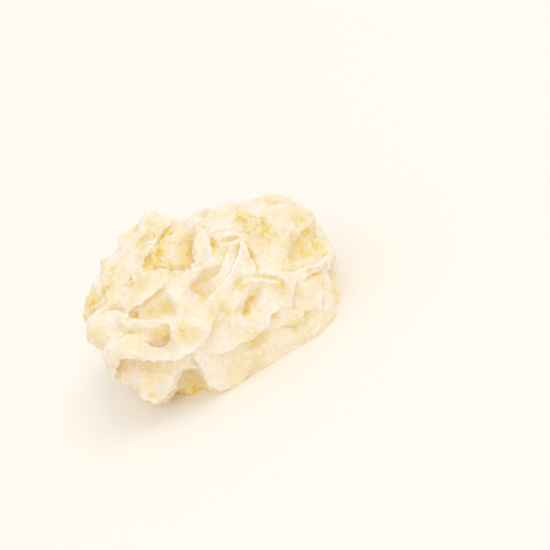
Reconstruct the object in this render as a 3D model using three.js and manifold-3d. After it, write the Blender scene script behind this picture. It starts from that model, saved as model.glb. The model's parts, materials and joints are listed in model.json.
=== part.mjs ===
// A coconut macaroon: whipped coconut meringue dropped from a spoon, swirled into folds and peaks, and baked
// on a flat sheet. It is one solid. Millimetres, +Z up, X along the length, -Y towards the front.
// The flat base lies on Z = 0, with the origin under the middle of the outline.

import * as THREE from "three";
import { ImprovedNoise } from "three/addons/math/ImprovedNoise.js";
import { mergeVertices } from "three/addons/utils/BufferGeometryUtils.js";
import Module from "manifold-3d";

// The plain mound that every lobe, scoop and fold is measured from. It is widest at its waist.
const HALF_LENGTH = 35;
const HALF_WIDTH = 28;
const WAIST = 9;
const CROWN = 27.5;
const FOOT = 22;
const SQUARENESS = 2.4;

// The surface is cut into triangles, closer together on the front and the top.
const DETAIL = 26;
const CLOSER = new THREE.Vector3(0, -0.22, 0.1);

// Uneven dough: how far it swells over what distance, how far the raised places have crusted into crags,
// between which two levels those begin, and how far the outlines of the features wander.
const SWELL = 0.45;
const SWELL_SPACING = 5;
const CRAG = 0.8;
const CRAG_SPACING = 3.2;
const CRAG_FROM = [-1, 3];
const WANDER = 1;
const WANDER_SPACING = 8;

// How often the surface is rounded off, and how far its points move out and back each time.
const RELAX_ROUNDS = 3;
const RELAX_SHARES = [0.5, -0.52];

// Where two features meet, they blend over this height, and each reaches this far past the mound's level.
const BLEND = 0.5;
const REACH = 1.5;

// A place is [x in mm, angle over the mound in degrees]: 0 is the front of the waist, 90 the top and
// 180 the back of the waist. Sizes are half-widths in mm along the mound and up its slope, turn is the
// slant of the first in degrees, and rise and depth are in mm from the mound's level.
const LOBES = [
  { name: "left cheek", at: [-29.5, 66], size: [6.5, 6.5], rise: 4 },
  { name: "left brow", at: [-29, 94], size: [5, 5.5], rise: 2.6 },
  { name: "left ear", at: [-25.5, 93], size: [4, 4], rise: 3 },
  { name: "far left knob", at: [-20, 104], size: [4.5, 5.5], rise: 2.6 },
  { name: "left knob", at: [-12, 107], size: [5.5, 6], rise: 3.5 },
  { name: "summit", at: [-4.5, 103], size: [6.5, 6.5], rise: 4 },
  { name: "brown knob", at: [18.2, 76], size: [3.8, 4], rise: 2.5 },
  { name: "right shoulder", at: [22.5, 64], size: [3.8, 4], rise: 2.8 },
  { name: "low shoulder", at: [22.8, 52], size: [3.2, 3.5], rise: 2 },
  { name: "back shoulder", at: [15, 101], size: [4.5, 4], rise: 1.6 },
  { name: "right back knob", at: [25, 99], size: [4.5, 4], rise: 1.6 },
  { name: "right end knob", at: [31.8, 74], size: [4.2, 5], rise: 3 },
  { name: "right rim knob", at: [33.2, 50], size: [3.5, 5], rise: 3.5 },
  { name: "centre swell", at: [-8, 20], size: [9, 7], turn: 10, rise: 3 },
  { name: "front swell", at: [2.5, 18], size: [5.5, 7], rise: 1.6 },
  { name: "front skirt", at: [-8, -16], size: [10, 9], rise: 1.5 },
  { name: "right flank", at: [24, 3], size: [8, 12], rise: 2 },
  { name: "right foot", at: [21, -14], size: [11, 11], rise: 2.8 },
];

const SCOOPS = [
  { name: "upper bowl", at: [-15.5, 42], size: [7.5, 6.5], turn: -12, depth: 7.5 },
  { name: "shelf", at: [-20, 68], size: [8, 6.5], depth: 3 },
  { name: "swirl's bottom", at: [-2.2, 34], size: [5, 5], turn: 10, depth: 7 },
  { name: "left end notch", at: [-34.8, 88], size: [4, 16], depth: 7 },
  { name: "left heel", at: [-34.3, -88], size: [5.5, 14], depth: 6 },
  { name: "right back corner", at: [32, 110], size: [4.5, 6], depth: 0.5 },
  { name: "right back dip", at: [20.5, 108], size: [4, 5], depth: 2 },
  { name: "right bowl", at: [28.5, 28], size: [7.5, 6], turn: 10, depth: 5.5 },
  { name: "smooth patch", at: [18, 40], size: [7, 6], depth: 2.2 },
  { name: "left undercut", at: [-16.5, -12], size: [5, 8], depth: 8 },
  { name: "space under the tongue", at: [-26, -21], size: [12, 7.5], turn: 8, depth: 8.5 },
  { name: "left tuck", at: [-34, -9], size: [8, 14], depth: 9 },
  { name: "right tuck", at: [34, -10], size: [8, 13], depth: 7 },
  { name: "front recess", at: [-3, -7], size: [6, 3], turn: 8, depth: 1 },
];

// The mound sags behind the right half of its top, and everything there sits lower.
const SAG = { at: [18, 112], size: [19, 28], depth: 5 };

// A fold runs along places with a third number, its rise there. Its flanks reach [right, left] of its
// crest as it is walked, so [down, up] the slope on a fold that runs to the right. A low sharpness is a
// sharp crest.
const FOLDS = [
  {
    name: "tongue",
    path: [[-25, 8, 2], [-25.5, -2, 4.5], [-26, -6, 4]],
    wide: [5.5, 5.5],
    sharpness: 1.8,
  },
  {
    name: "lip",
    path: [
      [-33, 6, 0],
      [-31.5, 24, 2.8],
      [-28.5, 34, 4],
      [-23, 26, 4],
      [-17, 15, 4],
      [-11, 10, 3],
      [-4, 13, 1],
    ],
    wide: [3, 5],
    sharpness: 1.6,
  },
  {
    name: "bowl divide",
    path: [[-24, 55, 2], [-21.5, 44, 1.5], [-17.5, 35, 1], [-13, 30, 1]],
    wide: [2, 2],
    sharpness: 1.2,
  },
  {
    name: "bowl brow",
    path: [[-24, 53, 0.8], [-19, 54.5, 1.2], [-15, 53, 1.2], [-11, 58, 1]],
    wide: [2, 5],
    sharpness: 1.2,
  },
  {
    name: "ring",
    path: [[-19, 74, -0.6], [-17, 79, -0.6], [-15, 74, -0.6], [-17, 69, -0.6], [-19, 74, -0.6]],
    wide: [1.4, 1.4],
    sharpness: 1.4,
  },
  {
    name: "valley lip",
    path: [[-12, 68, 0.6], [-8, 63, 0.6], [-4, 56, 0.8], [-1, 51, 0.4]],
    wide: [5, 2],
    sharpness: 1.2,
  },
  {
    name: "crest",
    path: [[-12.5, 70, 0.8], [-8.5, 79, 2.8], [-4.5, 89, 4], [0, 98, 2.5]],
    wide: [4, 4],
    sharpness: 1.1,
  },
  {
    name: "upper terrace",
    path: [[-15.5, 86, 0.8], [-9, 91, 2.8], [-4.5, 96, 2]],
    wide: [3, 6],
    sharpness: 1.2,
  },
  {
    name: "left terrace",
    path: [[-24.5, 97, 1], [-20, 91, 2.6], [-15.5, 88, 1]],
    wide: [2.5, 5],
    sharpness: 1.2,
  },
  {
    name: "ear rim",
    path: [[-28, 89, 1], [-25, 90, 2.2], [-22, 85, 1]],
    wide: [1.8, 4],
    sharpness: 1.2,
  },
  {
    name: "tall peak",
    path: [[1, 46, 0.5], [3, 58, 3.5], [5.5, 71, 5], [7.5, 83, 4.5]],
    wide: [3.5, 5.5],
    sharpness: 1.5,
  },
  {
    name: "split peak",
    path: [[8.5, 63, 1], [13.5, 60, 3.8], [15.2, 50, 3.8], [14, 40, 1]],
    wide: [5, 1.8],
    sharpness: 1.3,
  },
  {
    name: "swirl ridge",
    path: [[-1, 29, 0.8], [5, 35, 1.8], [10, 41, 1.8], [15, 48, 1]],
    wide: [5, 2],
    sharpness: 1.4,
  },
  {
    name: "pocket sheet",
    path: [[8, 30, 0.5], [13, 29, 2.2], [17.5, 20, 2.6], [19.5, 9, 0.8]],
    wide: [2, 4],
    sharpness: 1.3,
  },
  {
    name: "right bowl rim",
    path: [[20, 20, 0.6], [27, 17, 1.5], [32, 11, 1.8], [34, 25, 1.5]],
    wide: [4, 2],
    sharpness: 1.3,
  },
  {
    name: "front ledge",
    path: [[-6, 0, 0.4], [4, 3, 1], [12, 5, 0.8], [19, 7, 0.6]],
    wide: [3, 4],
    sharpness: 1.6,
  },
];

// Seams run like folds but are cut in, and their third number is a depth.
const SEAMS = [
  {
    name: "front crease",
    path: [[2, -3, 0.4], [6, -1.5, 1.2], [10, -3.5, 0.4]],
    wide: [2, 2],
    sharpness: 1.4,
  },
  {
    name: "right crease",
    path: [[13, -3, 0.5], [16, -6, 1.4], [19, -6, 0.6]],
    wide: [2, 2],
    sharpness: 1.4,
  },
  {
    name: "swirl seam",
    path: [[-2.2, 30, 3], [-1.5, 22, 2], [-1, 12, 0.8]],
    wide: [2.5, 2.5],
    sharpness: 1.4,
  },
  {
    name: "shade of the lip",
    path: [[-30, 11, 1.5], [-24, 13, 2], [-18, 5, 2], [-11, 1, 1.2]],
    wide: [3, 3],
    sharpness: 1.5,
  },
  {
    name: "cheek's lower seam",
    path: [[-34.3, 30, 4.5], [-31.5, 42, 3.5], [-25.5, 47, 1.5]],
    wide: [2.2, 2.2],
    sharpness: 1.3,
  },
  {
    name: "cheek's inner seam",
    path: [[-25.5, 46, 1.5], [-24.2, 55, 2.5], [-24.5, 68, 2]],
    wide: [2.2, 2.2],
    sharpness: 1.3,
  },
  {
    name: "cheek's upper seam",
    path: [[-33.5, 76, 1.5], [-30, 82, 1.5], [-26, 78, 1.5]],
    wide: [2, 2],
    sharpness: 1.3,
  },
];

// Hollows pressed into the folds.
const NICKS = [
  { name: "valley", at: [-1.2, 68], size: [9, 5.8], turn: 48, depth: 6 },
  { name: "valley's left arm", at: [-7, 68.5], size: [5.5, 3.5], turn: -28, depth: 2.5 },
  { name: "drop beside the summit", at: [4.5, 116], size: [6.5, 15], turn: 8, depth: 5.5 },
  { name: "hollow behind the tongue", at: [-31.5, 6], size: [2.5, 6], depth: 2 },
  { name: "lower bowl", at: [-18, 24], size: [5.2, 3.8], turn: -35, depth: 4.5 },
  { name: "swirl hollow", at: [1.2, 41], size: [7.5, 4.5], turn: 15, depth: 2.5 },
  { name: "front pocket", at: [8.8, 17], size: [6.5, 2.4], turn: 34, depth: 4.5 },
  { name: "pit of the ring", at: [-17, 74], size: [1.8, 1.8], depth: 3.5 },
];

// The back is finished in rows of short strokes of the spoon, each steep below and gentle above, with a
// scoop in every second gap. Each strays from its even place by up to [mm, degrees]. The first row
// begins further to the right, past the knobs on the left of the top.
const BACK_SEED = 11;
const BACK_ROWS = [116, 133, 150, 167, 185];
const BACK_ROWS_FROM = [-8];
const BACK_COLUMNS = 5;
const BACK_STRAY = [3, 6];
const STROKE_LENGTH = [5, 9];
const STROKE_SLANT = [-14, 14];
const STROKE_RISE = [1.8, 4];
const STROKE_FLANKS = [7.5, 3.2];
const STROKE_SHARPNESS = 1.5;
const GAP_SIZE = [3.5, 6];
const GAP_DEPTH = [2, 4.5];

const BAKED = { color: "#f6e6bd", roughness: 0.85, metalness: 0 };

const wasm = await Module();
wasm.setup();
const noise = new ImprovedNoise();

// The outward normal of the plain mound at a point on it.
function normalAt(point) {
  const height = point.z - WAIST;
  const slope = (value, half) => (Math.sign(value) * Math.abs(value / half) ** (SQUARENESS - 1)) / half;
  const rise = slope(height, height > 0 ? CROWN : FOOT);
  return new THREE.Vector3(slope(point.x, HALF_LENGTH), slope(point.y, HALF_WIDTH), rise).normalize();
}

// The point on the plain mound at a place.
function seat([x, over]) {
  const angle = THREE.MathUtils.degToRad(over);
  const slice = (1 - Math.abs(x / HALF_LENGTH) ** SQUARENESS) ** (1 / SQUARENESS);
  const bow = (value) => slice * Math.sign(value) * Math.abs(value) ** (2 / SQUARENESS);
  const height = bow(Math.sin(angle));
  const y = -HALF_WIDTH * bow(Math.cos(angle));
  return new THREE.Vector3(x, y, WAIST + height * (height > 0 ? CROWN : FOOT));
}

// How far a point is from a place, as a share of its size: 1 on the outline.
function spread({ at, size, turn = 0 }) {
  const middle = seat(at);
  const normal = normalAt(middle);
  const along = new THREE.Vector3(1, 0, 0).addScaledVector(normal, -normal.x).normalize();
  along.applyAxisAngle(normal, THREE.MathUtils.degToRad(turn));
  const up = new THREE.Vector3().crossVectors(normal, along);
  const offset = new THREE.Vector3();
  return (point) => {
    offset.subVectors(point, middle);
    const sunk = offset.dot(normal) / (size[0] + size[1]);
    return (offset.dot(along) / size[0]) ** 2 + (offset.dot(up) / size[1]) ** 2 + sunk ** 2;
  };
}

// Each feature gives its level over the mound at a point.
function lobeLevel(lobe) {
  const share = spread(lobe);
  const fall = Math.max(lobe.rise, 0) + REACH;
  return (point) => lobe.rise - fall * share(point);
}

function scoopLevel(scoop) {
  const share = spread(scoop);
  const climb = Math.max(scoop.depth, 0) + REACH;
  return (point) => climb * share(point) - scoop.depth;
}

function foldLevel({ path, wide, sharpness }) {
  const line = new THREE.CatmullRomCurve3(path.map(seat));
  const rises = new THREE.SplineCurve(path.map(([, , rise], i) => new THREE.Vector2(i, rise)));
  const count = 12 * path.length;
  const stations = Array.from({ length: count + 1 }, (_, i) => {
    const middle = line.getPoint(i / count);
    const left = new THREE.Vector3().crossVectors(normalAt(middle), line.getTangent(i / count)).normalize();
    return { middle, left, rise: rises.getPoint(i / count).y };
  });
  const offset = new THREE.Vector3();
  return (point) => {
    let level = -Infinity;
    for (const { middle, left, rise } of stations) {
      offset.subVectors(point, middle);
      const flank = offset.dot(left) > 0 ? wide[1] : wide[0];
      const fall = Math.max(rise, 0) + REACH;
      level = Math.max(level, rise - fall * (offset.length() / flank) ** sharpness);
    }
    return level;
  };
}

function seamLevel(seam) {
  const level = foldLevel(seam);
  return (point) => -level(point);
}

// The higher of two levels, rounded a little where they cross.
function higher(a, b) {
  const near = Math.max(BLEND - Math.abs(a - b), 0) / BLEND;
  return Math.max(a, b) + 0.25 * BLEND * near * near;
}

const lower = (a, b) => -higher(-a, -b);

// A seeded draw between two bounds.
function drawsFrom(seed) {
  let state = seed;
  return (from, to) => {
    state = (Math.imul(state, 1664525) + 1013904223) >>> 0;
    return from + ((to - from) * state) / 2 ** 32;
  };
}

// The back's strokes and the scoops in their gaps, row by row.
function backStages() {
  const draw = drawsFrom(BACK_SEED);
  const strokes = [];
  const gaps = [];
  BACK_ROWS.forEach((over, row) => {
    for (let column = 0; column < BACK_COLUMNS; column++) {
      const even = (2 * column + 0.5 + (row % 2)) / BACK_COLUMNS - 1;
      const x = 0.95 * HALF_LENGTH * even + draw(-1, 1) * BACK_STRAY[0];
      if (x < BACK_ROWS_FROM[row]) continue;
      const middle = over + draw(-1, 1) * BACK_STRAY[1];
      const half = draw(...STROKE_LENGTH);
      const slant = draw(...STROKE_SLANT);
      const rise = draw(...STROKE_RISE);
      const reach = (end) => THREE.MathUtils.clamp(x + end * half, -0.97 * HALF_LENGTH, 0.97 * HALF_LENGTH);
      const path = [-1, 0, 1].map((end) => [reach(end), middle + end * slant, end === 0 ? rise : 0]);
      const stroke = { path, wide: STROKE_FLANKS, sharpness: STROKE_SHARPNESS };
      strokes.push({ level: foldLevel(stroke), settle: higher });
      const at = [reach(1.3), middle + draw(-1, 1) * BACK_STRAY[1]];
      const size = [draw(...GAP_SIZE), draw(...GAP_SIZE)];
      const scoop = { at, size, turn: slant, depth: draw(...GAP_DEPTH) };
      if ((row + column) % 2 === 1) gaps.push({ level: scoopLevel(scoop), settle: lower });
    }
  });
  return [...strokes, ...gaps];
}

const stages = [
  ...backStages(),
  ...LOBES.map((lobe) => ({ level: lobeLevel(lobe), settle: higher })),
  ...SCOOPS.map((scoop) => ({ level: scoopLevel(scoop), settle: lower })),
  ...SEAMS.map((seam) => ({ level: seamLevel(seam), settle: lower })),
  ...FOLDS.map((fold) => ({ level: foldLevel(fold), settle: higher })),
  ...NICKS.map((nick) => ({ level: scoopLevel(nick), settle: lower })),
];

// A smooth, repeatable wobble from -1 to 1 at a point.
const wobble = (point, spacing, shift = 0) =>
  noise.noise(point.x / spacing + shift, point.y / spacing + shift, point.z / spacing + shift);

const sagShare = spread(SAG);

// The dough's level over the mound at a point on it.
function levelAt(point) {
  const stray = new THREE.Vector3(...[10, 20, 30].map((shift) => wobble(point, WANDER_SPACING, shift)));
  const place = stray.multiplyScalar(WANDER).add(point);
  const level = stages.reduce((reached, stage) => stage.settle(reached, stage.level(place)), 0);
  const sag = SAG.depth * Math.max(0, 1 - sagShare(point)) ** 1.5;
  const crag = 0.5 - 2 * Math.abs(wobble(point, CRAG_SPACING, 40));
  const craggy = CRAG * THREE.MathUtils.smoothstep(level, ...CRAG_FROM);
  return level - sag + SWELL * wobble(point, SWELL_SPACING) + craggy * crag;
}

// The geometry with its shared points merged.
function mergedOf(geometry) {
  const bare = geometry.clone();
  bare.deleteAttribute("normal");
  bare.deleteAttribute("uv");
  return mergeVertices(bare, 1e-4);
}

// Rounds off the sharpest edges: each point moves towards the middle of its neighbours, then back a
// little further.
function relaxed(geometry) {
  const place = geometry.getAttribute("position");
  const index = geometry.index.array;
  const neighbours = Array.from({ length: place.count }, () => new Set());
  for (let i = 0; i < index.length; i++) {
    const next = i % 3 === 2 ? i - 2 : i + 1;
    neighbours[index[i]].add(index[next]);
    neighbours[index[next]].add(index[i]);
  }
  const point = new THREE.Vector3();
  for (const share of Array.from({ length: RELAX_ROUNDS }, () => RELAX_SHARES).flat()) {
    const moved = neighbours.map((around, i) => {
      const middle = new THREE.Vector3();
      for (const other of around) middle.add(point.fromBufferAttribute(place, other));
      middle.divideScalar(around.size);
      return point.fromBufferAttribute(place, i).clone().lerp(middle, share);
    });
    moved.forEach(({ x, y, z }, i) => place.setXYZ(i, x, y, z));
  }
  return geometry;
}

// A closed geometry as a solid that can be joined and cut.
function solidOf(merged) {
  const vertProperties = merged.getAttribute("position").array;
  const triVerts = new Uint32Array(merged.index.array);
  return new wasm.Manifold(new wasm.Mesh({ numProp: 3, vertProperties, triVerts }));
}

// The dough before its foot is cut flat.
function dough() {
  const geometry = new THREE.IcosahedronGeometry(1, DETAIL);
  const place = geometry.getAttribute("position");
  const point = new THREE.Vector3();
  for (let i = 0; i < place.count; i++) {
    point.fromBufferAttribute(place, i).add(CLOSER);
    const half = new THREE.Vector3(HALF_LENGTH, HALF_WIDTH, point.z > 0 ? CROWN : FOOT);
    const reach = point.toArray().reduce((sum, value) => sum + Math.abs(value) ** SQUARENESS, 0);
    point.multiplyScalar(reach ** (-1 / SQUARENESS)).multiply(half);
    point.z += WAIST;
    const level = levelAt(point);
    point.addScaledVector(normalAt(point), level);
    place.setXYZ(i, point.x, point.y, point.z);
  }
  return solidOf(relaxed(mergedOf(geometry)));
}

// All that lies under the baking sheet's level.
function underSheet() {
  const size = 4 * HALF_LENGTH;
  return solidOf(mergedOf(new THREE.BoxGeometry(size, size, size).translate(0, 0, -size / 2)));
}

// The solid's triangles as a geometry whose base is centred on the origin.
function geometryOf(solid) {
  const mesh = solid.getMesh();
  const geometry = new THREE.BufferGeometry();
  geometry.setAttribute("position", new THREE.BufferAttribute(mesh.vertProperties, mesh.numProp));
  geometry.setIndex(new THREE.BufferAttribute(mesh.triVerts, 1));
  geometry.computeBoundingBox();
  const middle = geometry.boundingBox.getCenter(new THREE.Vector3());
  geometry.translate(-middle.x, -middle.y, 0);
  geometry.computeVertexNormals();
  return geometry;
}

const baked = dough().subtract(underSheet());
const biscuit = new THREE.Mesh(geometryOf(baked), new THREE.MeshStandardMaterial(BAKED));
biscuit.name = "macaroon";

const part = new THREE.Group();
part.add(biscuit);

export default part;
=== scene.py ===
# %% [markdown]
# A coconut macaroon: coconut meringue that was whipped, dropped from a spoon and baked.
#
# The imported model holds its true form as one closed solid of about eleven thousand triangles. This lesson
# turns a copy of that solid into the baked thing, with crisp folds, a crumbly crust and golden toasting.
# The copy keeps the solid's place and very nearly its size, so the dressed part fits where the solid goes.

import json
import math

import bpy
import numpy as np
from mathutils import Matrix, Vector

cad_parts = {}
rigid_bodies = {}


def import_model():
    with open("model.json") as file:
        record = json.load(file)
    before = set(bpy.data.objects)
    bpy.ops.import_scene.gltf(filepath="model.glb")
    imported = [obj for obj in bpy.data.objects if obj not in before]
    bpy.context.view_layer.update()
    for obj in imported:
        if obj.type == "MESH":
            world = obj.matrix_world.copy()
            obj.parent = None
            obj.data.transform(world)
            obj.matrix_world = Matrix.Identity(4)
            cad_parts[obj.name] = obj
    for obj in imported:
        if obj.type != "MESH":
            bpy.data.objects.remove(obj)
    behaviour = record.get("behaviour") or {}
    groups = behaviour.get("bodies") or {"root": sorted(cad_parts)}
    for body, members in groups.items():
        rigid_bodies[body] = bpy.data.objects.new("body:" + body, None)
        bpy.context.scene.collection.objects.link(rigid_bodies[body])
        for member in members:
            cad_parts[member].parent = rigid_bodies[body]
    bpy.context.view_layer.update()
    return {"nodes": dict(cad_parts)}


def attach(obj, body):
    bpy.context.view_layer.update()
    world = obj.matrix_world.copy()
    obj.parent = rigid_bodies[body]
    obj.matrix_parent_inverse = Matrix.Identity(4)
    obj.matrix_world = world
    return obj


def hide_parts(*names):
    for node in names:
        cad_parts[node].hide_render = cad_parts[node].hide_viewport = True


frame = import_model()
MM = 0.001

# %% [markdown]
# The camera comes first, because folds and toasted patches are placed by where they show in its picture.
# The picture's macaroon leans, while the part has to lie flat on its base. Tipping the part would move it
# off its frame, so the camera is rolled instead. A place in the picture is given in millimetres to the
# right of and above the middle of the base, with the roll taken out.

# %% Set up the camera
FRAME_PX = 550
PX_PER_MM = 3.61
BASE_PX = Vector((232.6, 330.6))
ELEVATION = math.radians(27)
ROLL = math.radians(30)
DISTANCE = 0.58
SENSOR = 36.0

RIGHT = Vector((1, 0, 0))
UP = Vector((0, math.sin(ELEVATION), math.cos(ELEVATION)))
AWAY = UP.cross(RIGHT)
FRAME_RIGHT = RIGHT * math.cos(ROLL) - UP * math.sin(ROLL)
FRAME_UP = UP * math.cos(ROLL) + RIGHT * math.sin(ROLL)

to_middle = (Vector((FRAME_PX / 2, FRAME_PX / 2)) - BASE_PX) / PX_PER_MM * MM
aim = FRAME_RIGHT * to_middle.x - FRAME_UP * to_middle.y

bpy.ops.object.camera_add(location=aim - AWAY * DISTANCE)
camera = bpy.context.object
camera.name = "camera"
camera.rotation_mode = "QUATERNION"
camera.rotation_quaternion = AWAY.to_track_quat("-Z", "Y")
lens_turn = camera.rotation_quaternion.to_matrix().transposed() @ FRAME_UP
camera.rotation_quaternion @= Vector((0, 1, 0)).rotation_difference(lens_turn)
camera.data.sensor_width = SENSOR
camera.data.lens = SENSOR * DISTANCE / (FRAME_PX / PX_PER_MM * MM)
bpy.context.scene.camera = camera
print("lens in mm:", round(camera.data.lens, 1))

# %% [markdown]
# A copy of the solid is the start of the body. The solid's triangles are loose, so they are merged into one
# skin. Subdivision Surface rounds the skin once, and Remesh turns it into an even net that is fine enough
# to carry crumbs; an even net takes strokes from every side alike. The flat underside is first pushed down,
# in a wavy line, and is cut off again at the end, which leaves the edge of the foot uneven and sharp.

# %% Copy the solid into an even, fine net
from mathutils import noise

NET = 0.32 * MM
NET_ROUNDS = 3
TOUCHING = 0.001 * MM
FOOT_SPARE = 1.5 * MM
FOOT_FLARE = 1.05
FOOT_WAVE = 0.12
FOOT_WAVE_SPACING = 5 * MM

cad = frame["nodes"]["macaroon"]
body = bpy.data.objects.new("macaroon_body", cad.data.copy())
bpy.context.collection.objects.link(body)


def pick(piece):
    """Makes a piece the only one selected, so that the next operator acts on it alone."""
    bpy.ops.object.select_all(action="DESELECT")
    piece.select_set(True)
    bpy.context.view_layer.objects.active = piece


def apply_modifier(piece, kind, **settings):
    """Adds a modifier to a piece, sets it and applies it."""
    pick(piece)
    bpy.ops.object.modifier_add(type=kind)
    modifier = piece.modifiers[-1]
    for name, value in settings.items():
        setattr(modifier, name, value)
    bpy.ops.object.modifier_apply(modifier=modifier.name)


def relax(piece, rounds):
    """Draws each point half way to the middle of its neighbours, that many times."""
    apply_modifier(piece, "SMOOTH", factor=0.5, iterations=rounds)


pick(body)
bpy.ops.object.mode_set(mode="EDIT")
bpy.ops.mesh.select_all(action="SELECT")
bpy.ops.mesh.remove_doubles(threshold=TOUCHING)
bpy.ops.object.mode_set(mode="OBJECT")
for vertex in body.data.vertices:
    if vertex.co.z < TOUCHING:
        vertex.co.z -= FOOT_SPARE
        wave = noise.noise(vertex.co / FOOT_WAVE_SPACING)
        vertex.co.xy *= FOOT_FLARE + FOOT_WAVE * wave
apply_modifier(body, "SUBSURF", levels=1, render_levels=1)
apply_modifier(body, "REMESH", mode="VOXEL", voxel_size=NET)
relax(body, NET_ROUNDS)
print("net:", len(body.data.vertices), "points")

# %% [markdown]
# Folds could be sculpted by hand. Here numbers move the net's points, in the same way on every run. These
# helpers read a piece's points and normals, read those of a smoothed copy, which is the same form without
# its edges, and move the points.

# %% Read and move the points


def places(piece):
    """The piece's points, one row each."""
    flat = np.empty(3 * len(piece.data.vertices), np.float32)
    piece.data.vertices.foreach_get("co", flat)
    return flat.reshape(-1, 3).astype(float)


def outward(piece):
    """The piece's normals, one row a point."""
    flat = np.empty(3 * len(piece.data.vertices), np.float32)
    piece.data.vertex_normals.foreach_get("vector", flat)
    return flat.reshape(-1, 3).astype(float)


def smoothed(piece, rounds):
    """The points and normals of a copy of the piece that is smoothed that many times."""
    smooth = bpy.data.objects.new("smooth_copy", piece.data.copy())
    bpy.context.collection.objects.link(smooth)
    relax(smooth, rounds)
    result = places(smooth), outward(smooth)
    bpy.data.objects.remove(smooth)
    return result


def move(piece, shift):
    """Moves each point of a piece."""
    piece.data.vertices.foreach_set("co", (places(piece) + shift).astype(np.float32).ravel())
    piece.data.update()


print("top of the net in mm:", round(places(body)[:, 2].max() / MM, 2))

# %% [markdown]
# Each fold is placed by where it shows. A ray from the camera through a place in the picture finds the
# surface behind it, as a brush does when someone sculpts on the screen. A tree of the faces makes the
# search quick.

# %% Find the surface behind a place
from mathutils.bvhtree import BVHTree


class Eye:
    """A viewer that finds the surface behind a place in its picture."""

    def __init__(self, piece, right, up, stand):
        self.tree = BVHTree.FromObject(piece, bpy.context.evaluated_depsgraph_get())
        self.right = right
        self.up = up
        self.stand = stand.copy()

    def find(self, across, above):
        """The place and normal on the surface at so many mm across and above, or None."""
        target = (self.right * across + self.up * above) * MM
        hit, normal, _, _ = self.tree.ray_cast(self.stand, (target - self.stand).normalized())
        return None if hit is None else (np.array(hit), np.array(normal))


front = Eye(body, RIGHT, UP, camera.location)
print("skin in front of the base's middle, in mm:", (front.find(0, 0)[0] / MM).round(1))

# %% [markdown]
# Two hollows are smoother than the rest, as if the round of the spoon had pressed them. A well smoothed
# copy shows where their points would lie, and they are pulled there, most in the middle. A Smooth brush
# could do this by hand, but not in the same way on every run.

# %% Smooth two hollows
SOFTENED = {"right bowl": (27, 11.3, 5), "lower bowl": (-21, 9, 3)}
SOFT_ROUNDS = 250


def nearness(points, middle, radius):
    """1 at a place, and smoothly less away from it; the radius is in mm."""
    apart = np.linalg.norm(points - middle, axis=1) / (radius * MM)
    return np.exp(-(apart**2))


point = places(body)
even_place, _ = smoothed(body, SOFT_ROUNDS)
pull = np.zeros(len(point))
for u, v, radius in SOFTENED.values():
    pull = np.maximum(pull, nearness(point, front.find(u, v)[0], radius))
move(body, (even_place - point) * pull[:, None])
front = Eye(body, RIGHT, UP, camera.location)
print("softened:", ", ".join(SOFTENED))

# %% [markdown]
# Whipped meringue folds over itself, and bakes with thin, crisp edges that wander a little. Each edge is
# drawn as a stroke of a sculpting brush. What the strokes work on is gathered first: the points, the
# normals of the plain form, a small wander for each point, and the lift that the strokes add up. The points
# move once, when every stroke is drawn, so that no stroke spoils the surface that the next one has to find.

# %% Gather what the strokes work on
PLAIN_ROUNDS = 12
WANDER = 0.45 * MM
WANDER_SPACING = 4 * MM
WANDER_SHIFTS = (20, 40, 60)
ROUGHNESS = 1
FINER = 2
LAYERS = 3


def mottle(points, spacing, shift):
    """A smooth, repeatable noise from about -1 to 1, in a few layers, each finer than the last."""
    away = Vector((shift, shift, shift))
    return np.array([noise.fractal(Vector(p / spacing) + away, ROUGHNESS, FINER, LAYERS) for p in points])


point = places(body)
_, normal = smoothed(body, PLAIN_ROUNDS)
wander = np.stack([mottle(point, WANDER_SPACING, shift) for shift in WANDER_SHIFTS], axis=1) * WANDER
lift = np.zeros(len(point))
print("edges wander by up to", round(float(np.abs(wander).max() / MM), 2), "mm")

# %% [markdown]
# A stroke runs on a smooth curve through its places, each (across, above, strength). The curve is thrown
# onto the surface place by place and then evened out, so that a small step in the surface does not kink it.

# %% Follow a path over the surface
PER_SPAN = 12
LINE_ROUNDS = 4


def through(points):
    """A smooth curve through points."""
    ends = np.vstack([2 * points[0] - points[1], points, 2 * points[-1] - points[-2]])
    rows = []
    for p0, p1, p2, p3 in zip(ends, ends[1:], ends[2:], ends[3:]):
        for t in np.arange(PER_SPAN) / PER_SPAN:
            bend = (2 * p0 - 5 * p1 + 4 * p2 - p3) * t * t + (3 * p1 - p0 - 3 * p2 + p3) * t**3
            rows.append(p1 + 0.5 * ((p2 - p0) * t + bend))
    return np.array([*rows, points[-1]])


def evened(rows):
    """Rows that are drawn towards their neighbours, with both ends kept."""
    for _ in range(LINE_ROUNDS):
        rows[1:-1] = (rows[:-2] + 2 * rows[1:-1] + rows[2:]) / 4
    return rows


def trace(eye, path):
    """The places, normals and strengths along a path on the surface, or None if too little shows."""
    found = [(eye.find(u, v), strength) for u, v, strength in through(np.array(path, float))]
    found = [(*hit, strength) for hit, strength in found if hit]
    if len(found) < PER_SPAN:
        return None
    line, facing, strength = (np.array(column) for column in zip(*found))
    return evened(line), evened(facing), strength


print("places on each span of a path:", PER_SPAN)

# %% [markdown]
# What lies on a stroke's left and on its right is lifted or sunk, each by (rise, reach) in millimetres. A
# ridge lifts both sides, a crease sinks both, and a fold's edge lifts one side and sinks the other. Points
# that face another way, such as those behind a fold, are left alone.

# %% Make the stroke
STEP = 0.35 * MM
SAME_WAY = -0.2, 0.3
WHOLE = np.ones(len(point))


def ease(value, low, high):
    """0 below low, 1 above high, and a smooth rise between them."""
    share = np.clip((value - low) / (high - low), 0, 1)
    return share * share * (3 - 2 * share)


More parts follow.
